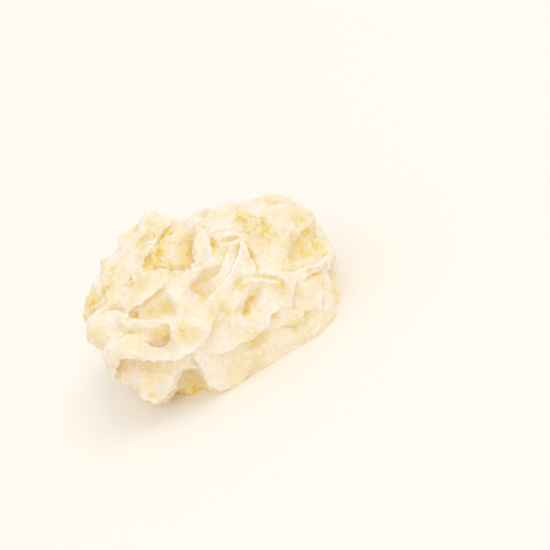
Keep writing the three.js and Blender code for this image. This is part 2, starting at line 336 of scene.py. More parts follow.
def stroke(eye, path, left, right, share=WHOLE):
    """Adds a stroke to the lift of the points near it, or a share of it, one number a point."""
    traced = trace(eye, path)
    if traced is None:
        return
    line, facing, strength = traced
    beside = np.cross(facing, np.gradient(line, axis=0))
    beside /= np.linalg.norm(beside, axis=1, keepdims=True)
    reach = max(left[1], right[1]) * MM
    near = np.flatnonzero(((point > line.min(0) - reach) & (point < line.max(0) + reach)).all(1))
    offset = (point[near] + wander[near])[:, None, :] - line[None, :, :]
    apart = np.linalg.norm(offset, axis=2)
    closest = apart.argmin(1)
    rows = np.arange(len(near))
    side = np.einsum("ij,ij->i", offset[rows, closest], beside[closest])
    on_left = ease(side, -STEP, STEP)
    amount = np.zeros(len(near))
    for (rise, wide), part in ((left, on_left), (right, 1 - on_left)):
        away = np.clip(apart[rows, closest] / (wide * MM), 0, 1)
        fall = (1 - away) ** 2 if rise > 0 else (1 - away**2) ** 2
        amount += part * rise * MM * fall
    same_way = ease(np.einsum("ij,ij->i", normal[near], facing[closest]), *SAME_WAY)
    lift[near] += amount * strength[closest] * same_way * share[near]


def draw(edges):
    """Draws a group of strokes, as they show from the front."""
    for path, left, right in edges.values():
        stroke(front, path, left, right)
    print("drawn:", ", ".join(edges))


print("points that the strokes can move:", len(lift))

# %% [markdown]
# At the lower left, a lip of meringue hangs over a tongue. Beside the tongue the skirt begins, with a
# recess between them. What lies under the lip and the tongue sinks deep, so that both stand out in front of
# a shadow.

# %% Draw the lip and the tongue
LIP = {
    "lip": (
        [(-35, 4.5, 0.6), (-33, 6.7, 1), (-30, 8.8, 1), (-27, 7, 1), (-23.5, 4.2, 1), (-20, 1.9, 1),
         (-16, 0.4, 1), (-12, 0.3, 1), (-8, 1.6, 0.9), (-5, 3.6, 0.7), (-2, 5.6, 0.3)],
        (1, 2.2), (-2.8, 6)),
    "tongue's left edge": (
        [(-29.5, 5.2, 0.5), (-30.8, 2.5, 1), (-31.2, -1, 1), (-30.6, -4.5, 0.8)],
        (1, 1.3), (-2.5, 4)),
    "tongue's underside": (
        [(-31, -5.2, 0.6), (-28, -7, 1), (-24.5, -6.8, 1), (-20.5, -5, 1), (-17.5, -3, 0.6)],
        (0.4, 2), (-4, 6)),
    "skirt's left edge": (
        [(-13.3, -1.5, 0.4), (-12.8, -5, 1), (-13.3, -9, 1), (-12, -12, 0.6)],
        (0.4, 3), (-2.5, 5)),
}
draw(LIP)

# %% [markdown]
# Above the lip lie two bowls, one over the other. A thin wall parts them, so the divide lifts on both
# sides. The brow and the rim lift outside the bowl and sink inside it.

# %% Draw the two bowls
BOWLS = {
    "bowl divide": (
        [(-22.5, 16.3, 0.5), (-21.5, 15.2, 1), (-19, 13.8, 1), (-16.5, 12.2, 1), (-14, 11, 1),
         (-12, 10.4, 0.4)],
        (1.2, 1.3), (1.2, 1.3)),
    "upper bowl's brow": (
        [(-23.2, 18, 0.5), (-21.5, 19, 1), (-18, 19.2, 1), (-15, 19.4, 1), (-12, 20, 1), (-10.3, 20.6, 0.4)],
        (0.9, 1.6), (-1.3, 3)),
    "lower bowl's rim": (
        [(-15, 11, 0.6), (-14.6, 9, 1), (-15.8, 6.8, 1), (-18.3, 5.6, 1), (-21, 6.6, 0.8), (-23, 8.6, 0.4)],
        (0.8, 1.5), (-1.7, 3)),
}
draw(BOWLS)

# %% [markdown]
# The crown is the highest part. A thin crest runs up it, with a terrace behind, and below the crest a
# valley ends in a crisp lip. Because the crest is thin, its stroke is narrow and high.

# %% Draw the crown
CROWN = {
    "valley's lip": (
        [(-12.5, 26.3, 0.4), (-10, 25, 1), (-7.5, 23.6, 1), (-4, 21.6, 1), (-1, 20.2, 1), (1, 19.6, 0.5)],
        (-0.8, 2), (1, 1.5)),
    "crest": (
        [(-14.2, 26.4, 0.3), (-12.8, 27.5, 0.8), (-11.2, 28.8, 1), (-9.5, 30, 1), (-7.5, 31.2, 1),
         (-5.5, 32.2, 1), (-3, 33.2, 1), (-0.4, 34.1, 0.7), (1, 34.7, 0.3)],
        (1.5, 1.2), (-0.5, 2.5)),
    "upper terrace": (
        [(-13, 33.6, 0.4), (-10, 34.6, 1), (-7, 35.4, 1), (-4, 36.4, 0.8), (-1, 36.6, 0.3)],
        (0.9, 1.3), (-0.6, 2)),
}
draw(CROWN)

# %% [markdown]
# A spoon that is pulled away leaves peaks of meringue. Here a tall one stands beside one that is split,
# over the hollow of a swirl. The tall one has an edge on each side, so that it stands free of the valley.

# %% Draw the peaks and the swirl
PEAKS = {
    "tall peak's left edge": (
        [(0.2, 20.6, 0.4), (1.2, 23.5, 1), (3.2, 26.8, 1), (5.5, 29.5, 0.6)],
        (-1.5, 2.5), (0.8, 2)),
    "tall peak's right edge": (
        [(5.8, 22.3, 0.4), (6.6, 25, 1), (7.6, 28, 1), (8.2, 30.3, 0.6)],
        (0.8, 2), (-1.6, 2.5)),
    "split peak": (
        [(9, 22.4, 0.4), (11.5, 21.7, 1), (14.6, 20.6, 1), (15, 18, 1), (14.6, 15, 1), (14, 12.3, 0.8),
         (13.4, 10.6, 0.3)],
        (-1.6, 2), (1, 1.2)),
    "split peak's fold": (
        [(8, 14.2, 0.4), (10, 15.6, 1), (12, 17.2, 1), (13.8, 19.2, 0.5)],
        (-0.9, 1.6), (0.9, 1.4)),
    "split peak's back": (
        [(7.6, 26.7, 0.4), (9.8, 26.7, 1), (13.4, 24.8, 1), (15.7, 22.8, 1), (16.6, 20.8, 0.5)],
        (0.3, 1.6), (-0.8, 2.5)),
    "swirl ridge": (
        [(-4.5, 10.6, 0.2), (-1, 11.2, 0.5), (3, 12.6, 0.5), (6, 13.6, 0.7), (8.5, 14.6, 1), (11, 16.8, 1),
         (13.5, 19.5, 0.5)],
        (-1.2, 2.5), (0.7, 3)),
    "swirl crease": (
        [(-2.2, 15.6, 0.2), (0.3, 15.5, 0.8), (3.5, 15.7, 1), (6, 16.8, 1), (8.5, 18.8, 0.8),
         (10, 20.4, 0.3)],
        (-1.5, 3.5), (0.3, 1.5)),
}
draw(PEAKS)

# %% [markdown]
# Below the swirl, on the right, a thin sheet folds over a pocket. The strokes are weak at both ends, so
# that they run out into the plain surface.

# %% Draw the pocket and its sheet
POCKET = {
    "pocket's sheet": (
        [(6.8, 9.6, 0.5), (8.8, 10.3, 1), (11, 9.9, 1), (14, 8.6, 1), (16.6, 6.4, 1), (18.2, 4.6, 0.8),
         (17.2, 2.6, 0.3)],
        (-1.1, 2.5), (0.5, 3)),
    "behind the sheet": (
        [(16.5, 9.6, 0.4), (19, 7, 1), (20.2, 4.5, 1), (19.3, 1, 0.8), (17.8, -1, 0.3)],
        (0.4, 1.6), (0.4, 1.6)),
    "pocket": (
        [(3.8, 1.8, 0.5), (5.5, 3.3, 1), (7.5, 5, 1), (10.5, 6.2, 1), (13, 8, 0.7), (14.3, 9, 0.3)],
        (0.6, 1.5), (-0.6, 2)),
    "pocket's left edge": (
        [(0.3, 9.5, 0.4), (-0.8, 7, 1), (-1, 4.5, 1), (-3.5, 2.8, 0.5), (-6, 1.8, 0.2)],
        (-0.7, 4), (0.2, 2)),
}
draw(POCKET)

# %% [markdown]
# The skirt is the broad, plain part above the foot. A ledge hangs over it in front, its right flank has a
# few low ridges and facets, and its rim is a little raised, as where meringue spreads on a baking sheet.

# %% Draw the skirt and the flank
SKIRT = {
    "front ledge": (
        [(-7, -3.6, 0.4), (-4, -4.6, 1), (0, -4.2, 1), (3, -4.6, 1), (8, -4.4, 1), (10, -3.4, 1),
         (11.5, -1.8, 1), (13.5, -1.5, 0.4)],
        (0.5, 3), (-1.3, 4)),
    "flank ridge": (
        [(22.5, 3.2, 0.4), (20.5, 1.2, 1), (18.8, -1, 1), (17.8, -3.5, 0.8), (19, -5.5, 0.3)],
        (-0.8, 3), (0.7, 1.3)),
    "skirt's dent": (
        [(-5.5, -4.9, 0.5), (-3, -5.8, 1), (0, -6.1, 1), (2.5, -5.6, 0.5)],
        (-0.6, 1.5), (-0.6, 2)),
    "skirt's patch": (
        [(-6, -6.2, 0.4), (-3.5, -7.4, 1), (-1, -7.6, 1), (1.5, -6.6, 0.5)],
        (-0.5, 1.8), (-0.4, 2)),
    "right patch": (
        [(11.5, -5.6, 0.5), (14, -6.2, 1), (16.5, -6.9, 1), (18.6, -7.4, 0.4)],
        (0.5, 1.2), (-0.9, 2.2)),
    "flank facet": (
        [(23.6, -10, 0.4), (24.6, -7, 1), (26.3, -4, 1), (28.5, -1, 0.5)],
        (0.7, 2.2), (-1.1, 3.5)),
    "flank step": (
        [(23.6, 2.3, 0.3), (26.3, 2.6, 1), (29.3, 2.2, 1), (31, 2.6, 0.4)],
        (0.8, 1.2), (-0.9, 2)),
    "foot's rim": (
        [(-12.3, -12.2, 0.4), (-9, -12.8, 1), (-3, -12.8, 1), (3, -12.7, 1), (9, -12.5, 1), (15, -12.3, 1),
         (20, -11.9, 1), (25, -10.8, 1), (28, -9, 1), (30, -6, 0.4)],
        (0.5, 1.6), (0.5, 1.2)),
}
draw(SKIRT)

# %% [markdown]
# The right end holds a third bowl, wide and shallow, with a thin rim round it, and ends in an upright edge.

# %% Draw the right end
RIGHT_END = {
    "right edge": (
        [(31.5, 3, 0.4), (31.2, 0, 1), (30.8, -3, 1), (30, -6.5, 1), (28.5, -9.5, 0.5)],
        (0.8, 1.1), (-0.6, 3)),
    "right bowl's lower rim": (
        [(19.5, 7.5, 0.4), (23, 5.8, 1), (27, 4.9, 1), (30.5, 4.6, 1), (33, 5.6, 0.5)],
        (-1.2, 3), (0.5, 2.5)),
    "right bowl's upper rim": (
        [(24.6, 6.2, 0.3), (23.2, 7.6, 1), (23.3, 9.9, 1), (25, 11.6, 1), (27.5, 12.8, 1), (31, 14.4, 0.8),
         (33, 14, 0.4)],
        (0.4, 2), (-0.9, 3)),
}
draw(RIGHT_END)

# %% [markdown]
# The last strokes are small ones: the cheek, the ear, the brow and a knob on the left, two strokes that
# part the lumps of the right shoulder, and a ring such as a burst bubble leaves.

# %% Draw the cheek and the shoulder
CHEEK = {
    "cheek's upper edge": (
        [(-34.5, 20.3, 0.4), (-32, 21.9, 1), (-29, 22.4, 1), (-26.3, 21.8, 1), (-24.6, 20.2, 1),
         (-23.4, 18.6, 0.4)],
        (-1.4, 2.5), (0.6, 1.6)),
    "cheek's lower edge": (
        [(-33.5, 11.3, 0.5), (-31, 12.9, 1), (-28, 13.8, 1), (-25, 13.6, 1), (-23, 12.4, 0.4)],
        (-1.4, 1.6), (0.7, 1.5)),
    "ear": (
        [(-28, 26, 0.4), (-26.5, 27.3, 1), (-24.5, 28.3, 1), (-22, 28.5, 0.5)],
        (0.8, 1.3), (-0.6, 1.8)),
    "brow": (
        [(-32.8, 24.6, 0.4), (-30.5, 25.2, 1), (-28, 25.3, 1), (-26.8, 24.6, 0.4)],
        (-0.6, 2.5), (0.5, 2)),
    "far left knob": (
        [(-24.3, 31, 0.4), (-22.5, 31, 1), (-20.5, 30.8, 1), (-18.8, 31.3, 0.4)],
        (-0.6, 2), (0.4, 2)),
    "shoulder groove": (
        [(17.3, 24.5, 0.5), (17.2, 22.5, 1), (17, 20, 1), (15.8, 17, 0.6)],
        (-0.6, 1.6), (-0.6, 1.6)),
    "shoulder": (
        [(20, 22.8, 0.5), (22.5, 22, 1), (23.8, 20, 1), (23.4, 17.5, 0.5)],
        (-0.5, 2), (0.7, 1.5)),
    "ring": (
        [(-18.6, 26.2, 1), (-17.3, 27.2, 1), (-16, 26.2, 1), (-17.3, 25.3, 1), (-18.6, 26.2, 1)],
        (1.2, 0.9), (0.8, 0.8)),
}
draw(CHEEK)

# %% [markdown]
# Some places are round rather than long: the face of a peak, the floor of a hollow, a knob. Each is a dab,
# an oval that lifts or sinks, given by its place, its two half lengths, its turn in degrees and its rise.

# %% Dab the round places


def dab(eye, at, size, turn, rise):
    """Adds an oval's rise to the lift; all measures are in mm, and the turn in degrees."""
    middle, facing = eye.find(*at)
    along = np.array(eye.right) - facing * (np.array(eye.right) @ facing)
    along /= np.linalg.norm(along)
    above = np.cross(facing, along)
    turned = math.radians(turn)
    wide = along * math.cos(turned) + above * math.sin(turned)
    tall = above * math.cos(turned) - along * math.sin(turned)
    offset = point + wander - middle
    share = (offset @ wide / (size[0] * MM)) ** 2 + (offset @ tall / (size[1] * MM)) ** 2
    share += (offset @ facing / (sum(size) * MM)) ** 2
    lift[:] += rise * MM * np.clip(1 - share, 0, 1) ** 2


DABS = {
    "tall peak's face": ((3.9, 25.3), (1.9, 5.5), -28, 1.6),
    "pocket's left side": ((1.8, 5), (3.4, 4.2), -30, -1.4),
    "pocket's floor": ((9.5, 5.2), (5, 2), 35, 1.2),
    "swirl": ((-2, 14.2), (4, 3.4), 8, -3.1),
    "swirl's comma": ((4, 18.2), (3.2, 2), 30, 1),
    "valley floor": ((-2.5, 23.6), (5, 3.6), -30, 1),
    "crest's hollow": ((-7.4, 30), (2.4, 1.8), 25, 1.4),
    "swirl's bottom": ((-2.8, 11.8), (2.2, 1.3), -5, -0.7),
    "upper bowl's corner": ((-21.2, 16.8), (1.6, 1.4), 0, -0.8),
    "lower bowl's end": ((-18.2, 8), (3.4, 2.4), 0, 0.6),
    "lower bowl's open side": ((-21.8, 9.5), (3, 2.6), 0, 0.6),
    "ring's pit": ((-17.3, 26.2), (1.2, 1), 0, 0.2),
    "brown knob": ((17.6, 25), (2.6, 2.8), 0, 1.2),
    "right ledge": ((17.8, -6.9), (4, 1.8), -8, 1.6),
    "right patch": ((13.6, -7), (2.6, 1.5), -10, 0.9),
    "right end's foot": ((33, 1.5), (3, 4), 0, -2.6),
}
for at, size, turn, rise in DABS.values():
    dab(front, at, size, turn, rise)
print("dabbed:", ", ".join(DABS))

# %% [markdown]
# Where the meringue was driest it broke into crumbs of a millimetre or two. They are small, seeded dabs,
# scattered round named places, each group with a middle, a spread and a count. Separate grains could be set
# on the surface instead, but baked crumbs are one with the crust.

# %% Scatter the crumbs
CRUMB_SEED = 8
CRUMB_SIZE = 0.5, 1
CRUMB_OVAL = 0.6, 1
CRUMB_TURN = 0, 180
CRUMB_RISE = 0.2, 0.45
CRUMBS = {
    "crest": ((-2.8, 30.8), (2, 0.8), 16),
    "under the crest": ((-7, 28), (2.2, 1.3), 12),
    "terrace": ((-8, 34), (2.6, 0.9), 10),
    "brown knob": ((18.4, 25.8), (1.8, 1), 9),
    "shoulder": ((20.5, 20.5), (3, 2.4), 14),
    "right end": ((31, 20), (2.4, 2), 12),
    "brow": ((-30.5, 25.5), (1.8, 1.2), 8),
    "centre": ((-11.8, 6.4), (1.4, 1.2), 8),
    "flank": ((26.5, 2), (2, 1.6), 8),
    "skirt": ((4, -8.5), (7, 1.8), 24),
}

draws = np.random.default_rng(CRUMB_SEED)
crumbs = 0
for middle, spread, count in CRUMBS.values():
    for at in draws.normal(middle, spread, (count, 2)):
        size = draws.uniform(*CRUMB_SIZE)
        if front.find(*at):
            oval = size, size * draws.uniform(*CRUMB_OVAL)
            turn = draws.uniform(*CRUMB_TURN)
            dab(front, at, oval, turn, draws.uniform(*CRUMB_RISE))
            crumbs += 1
print("crumbs:", crumbs)

# %% [markdown]
# The far side does not show in the picture, and is folded in the same way, by seeded strokes like the
# front's. They are drawn from four more sides, and held off what faces the camera.

# %% Draw the strokes of the far side
FAR_SEED = 5
FAR_SIDES = {"right": 80, "back": 160, "behind left": 230, "left": 290}
FAR_ELEVATION = math.radians(32)
FAR_STROKES = 18
FAR_AREA = (-26, -13), (26, 32)
FAR_LEAN = 35
FAR_HALF = 4, 8
FAR_BOW = 0.3
FAR_TIP = 0.3
FAR_RISE = 0.5, 1.1
FAR_RISE_REACH = 2.5
FAR_SINK = -2.2, -0.9
FAR_SINK_REACH = 3.5
TURNING_AWAY = -0.15, 0.2


def unseen(normals):
    """1 where the surface faces away from the camera, 0 where it faces it, and a smooth change between."""
    return 1 - ease(normals @ -np.array(AWAY), *TURNING_AWAY)


def far_eye(azimuth):
    """A viewer that stands so many degrees round the body."""
    turned = math.radians(azimuth)
    across = Vector((math.cos(turned), math.sin(turned), 0))
    level = Vector((-math.sin(turned), math.cos(turned), 0))
    up = level * math.sin(FAR_ELEVATION) + Vector((0, 0, math.cos(FAR_ELEVATION)))
    return Eye(body, across, up, across.cross(up) * DISTANCE)


def far_path():
    """A short path somewhere in the far area, slightly bowed, that fades at its tips."""
    middle = draws.uniform(*FAR_AREA)
    lean = math.radians(draws.uniform(-FAR_LEAN, FAR_LEAN))
    half = draws.uniform(*FAR_HALF) * np.array((math.cos(lean), math.sin(lean)))
    bow = np.array((-half[1], half[0])) * draws.uniform(-FAR_BOW, FAR_BOW)
    first = middle - half / 2 + bow
    second = middle + half / 2 + bow
    return [(*(middle - half), FAR_TIP), (*first, 1), (*second, 1), (*(middle + half), FAR_TIP)]


draws = np.random.default_rng(FAR_SEED)
far_share = unseen(normal)
for azimuth in FAR_SIDES.values():
    side_eye = far_eye(azimuth)
    for _ in range(FAR_STROKES):
        path = far_path()
        left = draws.uniform(*FAR_RISE), FAR_RISE_REACH
        right = draws.uniform(*FAR_SINK), FAR_SINK_REACH
        stroke(side_eye, path, left, right, far_share)
print("far strokes:", FAR_STROKES, "from each of", ", ".join(FAR_SIDES))

# %% [markdown]
# Now the points move along the normals of the plain form. That stretches the net at steep folds, so it is
# remeshed and relaxed, which also blunts the edges. They are sharpened again as a picture is: most of what
# a smoothed copy has lost is added again.

# %% Raise the folds and sharpen them
SHARPEN = 0.8
SHARPEN_ROUNDS = 8

move(body, normal * lift[:, None])
apply_modifier(body, "REMESH", mode="VOXEL", voxel_size=NET)
relax(body, 1)
even_place, _ = smoothed(body, SHARPEN_ROUNDS)
move(body, (places(body) - even_place) * SHARPEN)
print("folds from", round(lift.min() / MM, 1), "to", round(lift.max() / MM, 1), "mm")

# %% [markdown]
# The oven toasts meringue in patches, where sugar and coconut gathered and where the form caught the heat.
# The same table also holds painted shade: darker, warmer patches under the lip, in the recess under the
# tongue, in the valley, under the front ledge and on the down-facing skirt, and in part in the bowls, the
# pocket, the swirl and the notches beside the peaks. The patches that show in the picture are named, each
# (across, above, radius, strength). One image could hold them all, but named places stay with the form, and
# can be changed one by one.

# %% Name the toasted and shaded patches
TOASTED_AND_SHADED = {
    "crest": [(-9.3, 27.5, 2.6, 0.7), (-6.7, 29, 2, 0.95), (-4, 30.5, 2, 0.35)],
    "crest's grains": [
        (-6, 30.7, 0.8, 1), (-4.8, 31.9, 0.8, 1), (-3.6, 32.4, 0.7, 1), (-2, 33, 0.8, 1),
        (-1.4, 31.7, 0.7, 1), (-3.6, 30.9, 0.6, 0.8), (-1, 33.8, 0.6, 0.9)],
    "terrace": [(-8.5, 33.6, 1.6, 0.6), (-6, 34, 1.8, 0.8), (-10.5, 33.2, 1.2, 0.4)],
    "summit": [(-3, 35.8, 2, 0.5), (-9, 37.8, 1.5, 0.5), (-5.5, 37.5, 1.5, 0.4), (-12, 37, 1.5, 0.4)],
    "far left knob": [(-23.3, 31.8, 1.3, 0.7), (-20.5, 31.6, 1.5, 0.6), (-21.5, 34.2, 1, 0.5)],
    "brow": [(-30.3, 26.4, 2.4, 0.7), (-33.7, 23.2, 1.3, 0.6), (-29.5, 24, 2.5, 0.4)],
    "ear": [(-25, 27, 1.5, 0.6), (-22.8, 27.6, 1.2, 0.6)],
    "shelf": [(-17.2, 26, 0.8, 0.6), (-16, 23.5, 2.8, 0.35), (-13.5, 24, 1.8, 0.3), (-24, 20.7, 1, 0.6)],
    "cheek": [(-34.3, 18, 1.5, 0.45), (-31, 18, 2.5, 0.12), (-35.5, 16.5, 1, 0.6)],
    # The bowls' patches are partly toast and partly painted shade on their floors and in their corners.
    "upper bowl": [(-21.2, 16.7, 1.2, 0.9), (-17, 16, 4, 0.35), (-13, 14.5, 3, 0.4)],
    "lower bowl": [(-17.5, 8.3, 2.4, 0.6), (-16, 9, 1.5, 0.6), (-20, 10.5, 2, 0.3)],
    "centre crumbs": [
        (-12, 7.3, 1.3, 0.6), (-12.5, 5.5, 1.3, 0.6), (-10, 5.5, 1.1, 0.5), (-11.3, 8, 0.9, 0.5)],
    # Painted shade under the overhanging lip.
    "under the lip": [(-31, 7, 1.8, 0.4), (-29, 6, 1.8, 0.3), (-33.5, 5, 1.5, 0.3)],
    "tongue": [(-28.3, -4.3, 1, 0.8), (-30, -5.6, 1, 0.7), (-27, -1, 2, 0.25), (-24.5, 3.5, 2, 0.2)],
    # Painted shade in the recess under the tongue.
    "recess": [(-22, -7.8, 2.5, 0.7), (-17, -8.5, 3, 0.7), (-14, -8, 1.5, 0.6), (-17, -4.5, 2, 0.3)],
    # Painted shade in the valley below the crest.
    "valley": [
        (1, 28, 2.6, 0.6), (0, 25, 2.4, 0.6), (-1, 22.3, 2.2, 0.7), (-3, 22, 1.4, 0.6), (-6, 23.6, 1.3, 0.6),
        (-9, 25.4, 1.4, 0.6)],
    # The peaks are toasted at their tips, with painted shade in the notches beside them.
    "tall peak": [(7.2, 29.5, 1.2, 0.7), (7.3, 23, 1.3, 0.7), (7.5, 25, 1.2, 0.4)],
    "split peak": [
        (13.6, 21.3, 1.6, 0.4), (12.8, 18.8, 0.9, 0.5), (15.8, 18.5, 1.2, 0.8), (15, 15.5, 0.9, 0.5)],
    # The swirl's and the pocket's patches are partly toast and partly painted shade in their deepest places.
    "swirl": [(-2.7, 11.7, 1.2, 0.7), (-2.6, 15.8, 1.6, 0.2), (10, 15.4, 0.8, 0.4)],
    "pocket": [(5.7, 2.6, 1.3, 0.65), (9, 4.9, 1.5, 0.65), (7.5, 3.5, 1.2, 0.5)],
    "sheet": [(8.3, 9.8, 1.2, 0.6), (14.5, 8.9, 1.2, 0.5), (16.8, 7, 1.3, 0.5), (17.5, 4.5, 1.3, 0.6)],
    "brown knob": [(17.2, 26.5, 1.4, 1), (18.7, 25.7, 1.5, 1), (20.3, 24.8, 1.3, 1), (17.2, 22.5, 1, 0.6)],
    "shoulder": [(19, 21.3, 1.3, 0.5), (22, 19.5, 1.7, 0.8), (22.3, 21.5, 1.2, 0.6), (20.5, 16.5, 1.5, 0.4)],
    "right end": [
        (26.5, 26, 1.3, 0.4), (28.7, 24.3, 1.3, 0.6), (31, 21.3, 1.5, 0.5), (33.8, 20.5, 1.3, 0.5),
        (31.5, 17.7, 1.5, 0.4)],
    "right bowl": [
        (25.3, 8.7, 2.8, 0.55), (28.3, 8.3, 3.2, 0.65), (31.3, 8.8, 2.4, 0.75), (28.5, 11, 2.6, 0.5),
        (32, 12.6, 1.4, 1), (31.1, 13.5, 1.2, 1), (32.6, 11.6, 1.2, 0.9), (24.2, 13.4, 0.9, 0.4),
        (26.8, 13.4, 0.9, 0.4)],
    "flank": [(26.2, 3.5, 1, 0.7), (27.5, 1.2, 1.5, 0.5), (21.3, 0, 1.2, 0.4), (32.2, 5.5, 1.2, 0.6)],
    # Painted shade where the skirt faces down, under the ledge and beside the pocket.
    "skirt": [(-3, -7, 2.5, 0.3), (16, -6.8, 2, 0.3), (1.5, 6, 3.5, 0.2), (0, -9, 6, 0.16)],
    # Painted shade under the front ledge.
    "ledge": [(12.3, -2.2, 1.3, 0.6), (3.8, -5.2, 1.3, 0.6), (7, -4.8, 1.3, 0.4), (14.5, -6.3, 2, 0.4)],
}
print("toasted patches:", sum(len(group) for group in TOASTED_AND_SHADED.values()))

# %% [markdown]
# Each patch is strongest in its middle and fades around it. The far side has patches from a smooth noise
# instead, which are stronger high up, nearer to the oven's heat.

# %% Place the toasted and shaded patches
PATCH_SPACING = 8 * MM
PATCH_SHIFT = 5
FAR_PATCHES = 0.12, 0.5
FAR_TOAST = 0.25
FAR_HIGH_TOAST = 0.4
HIGH = 8 * MM, 24 * MM

place = places(body)
front = Eye(body, RIGHT, UP, camera.location)
# Toast and painted shade are placed together here, as one strength a point.
toast_and_shade_spots = np.zeros(len(place))
for u, v, radius, strength in (spot for group in TOASTED_AND_SHADED.values() for spot in group):
    hit = front.find(u, v)
    if hit:
        toast_and_shade_spots = np.maximum(toast_and_shade_spots, strength * nearness(place, hit[0], radius))

patches = mottle(place, PATCH_SPACING, PATCH_SHIFT)
far_share = unseen(outward(body))
high = ease(place[:, 2], *HIGH)
far_spots = far_share * ease(patches, *FAR_PATCHES) * (FAR_TOAST + FAR_HIGH_TOAST * high)
toast_and_shade_spots = np.maximum(toast_and_shade_spots, far_spots)
print("share of the skin that is toasted:", round(float(toast_and_shade_spots.mean()), 3))

# %% [markdown]
# Browning, and the painted shade and highlights added to it, also follow the form, so two heights are
# measured before the crust is roughened: how far a point stands out of the whole form, and how far it stands
# out of its near surroundings, as the rim of a fold does.

# %% Measure how far the points stand out
FORM_ROUNDS = 120
EDGE_ROUNDS = 16


def height_over(rounds):
    """How far each point of the body stands out of a smoothed copy, below 0 where it lies deeper."""
    even_place, even_normal = smoothed(body, rounds)
    return np.einsum("ij,ij->i", place - even_place, even_normal)


standing = height_over(FORM_ROUNDS)
edge_height = height_over(EDGE_ROUNDS)
print("the form stands out by up to", round(standing.max() / MM, 1), "mm")
print("its edges stand out by up to", round(edge_height.max() / MM, 1), "mm")

# %% [markdown]
# Baked crust is grainy and cracked, most of all on the crown and the right shoulder, where the meringue was
# driest, and creamy where the spoon drew it smooth. A vertex group holds a weight for each point, as if it
# were painted by hand, and the next step reads it.

# %% Weigh where the crust is crumbly
CRUMBLY = {
    "crown": (-8, 32, 9, 0.75),
    "left shoulder": (-25, 28, 8, 0.55),
    "cheek": (-34, 17, 4, 0.4),
    "right shoulder": (20, 22, 9, 1),
    "right end": (30, 18, 8, 0.9),
    "right back": (27, 25, 5, 0.9),
    "right bowl": (28, 8, 6, 0.3),
    "right flank": (25, -2, 7, 0.45),
    "skirt": (2, -8, 12, 0.4),
    "right skirt": (18, -8, 9, 0.45),
}
CREAMY = {
    "valley": (-1.5, 25.5, 5, 0.8),
    "tall peak": (4, 24, 4.5, 1),
    "split peak": (11, 17, 4.5, 1),
    "swirl": (2, 13, 6, 0.8),
    "lip": (-20, 4, 6, 0.6),
    "cheek": (-27, 18, 5, 0.8),
    "flank": (25, -3, 5, 0.6),
    "front": (-6, 3, 6, 0.6),
    "pocket's sheet": (15, 5, 4, 0.6),
    "right rim": (33, 3, 4, 0.8),
    "right foot": (30, -5, 4, 0.7),
}
LEAST_ROUGH = 0.25
PATCH_ROUGH = 0.7
FAR_ROUGH = -0.3, 0.3
CREAM_SHARE = 0.8
WEIGHT_STEPS = 16


def weigh(piece, name, weights):
    """Makes a vertex group from one weight a point, in a few even steps."""
    group = piece.vertex_groups.new(name=name)
    steps = np.round(np.clip(weights, 0, 1) * WEIGHT_STEPS).astype(int)
    for step in np.unique(steps):
        group.add(np.flatnonzero(steps == step).tolist(), step / WEIGHT_STEPS, "REPLACE")


rough = np.maximum(LEAST_ROUGH, PATCH_ROUGH * toast_and_shade_spots)
rough = np.maximum(rough, PATCH_ROUGH * far_share * ease(patches, *FAR_ROUGH))
for u, v, radius, strength in CRUMBLY.values():
    rough = np.maximum(rough, strength * nearness(place, front.find(u, v)[0], radius))
for u, v, radius, strength in CREAMY.values():
    rough *= 1 - strength * CREAM_SHARE * nearness(place, front.find(u, v)[0], radius)
weigh(body, "crumbly", rough)
print("mean roughness:", round(float(rough.mean()), 3))

# %% [markdown]
# Five Displace modifiers move the points along their normals: ridges and crags from a ridged noise, grains
# of coconut from cells, and fine wrinkles and grit that lie everywhere. Bump alone would leave the outline
# smooth, and crumbs have to show there too.

# %% Roughen the crust
CRUST = {
    "ridges": ("MUSGRAVE", 4.2 * MM, 1.4 * MM, "crumbly"),
    "crags": ("MUSGRAVE", 1.9 * MM, 0.6 * MM, "crumbly"),
    "grains": ("VORONOI", 1 * MM, -0.45 * MM, "crumbly"),
    "wrinkles": ("MUSGRAVE", 1.5 * MM, 0.25 * MM, ""),
    "grit": ("CLOUDS", 0.7 * MM, 0.4 * MM, ""),
}
RIDGE_LAYERS = 1.5

facing = outward(body)
for name, (kind, spacing, strength, group) in CRUST.items():
    texture = bpy.data.textures.new(name, kind)
    texture.noise_scale = spacing
    if kind == "MUSGRAVE":
        texture.musgrave_type = "RIDGED_MULTIFRACTAL"
        texture.octaves = RIDGE_LAYERS
    settings = {"texture": texture, "texture_coords": "LOCAL", "strength": strength, "vertex_group": group}
    start = places(body)
    apply_modifier(body, "DISPLACE", **settings)
    moved = np.einsum("ij,ij->i", places(body) - start, facing)
    print(name, "from", round(moved.min() / MM, 2), "to", round(moved.max() / MM, 2), "mm")
raised = np.einsum("ij,ij->i", places(body) - place, facing)
place = places(body)
print("crust from", round(raised.min() / MM, 2), "to", round(raised.max() / MM, 2), "mm")

# %% [markdown]
# One number on each point holds how far it is baked, from 0 for white to 1 for brown, together with painted
# light and shade. The rims of folds are lifted towards white as a painted highlight, while hollows, the dips
# between crumbs and the pits of the crust are made warmer and darker as painted shade. High crests are
# toasted in patches, and the foot is browned where it met the hot sheet, least at the front right. Each of
# these is first worked out as a share from 0 to 1. Colours could be stored instead, but then the material
# could no longer choose them.

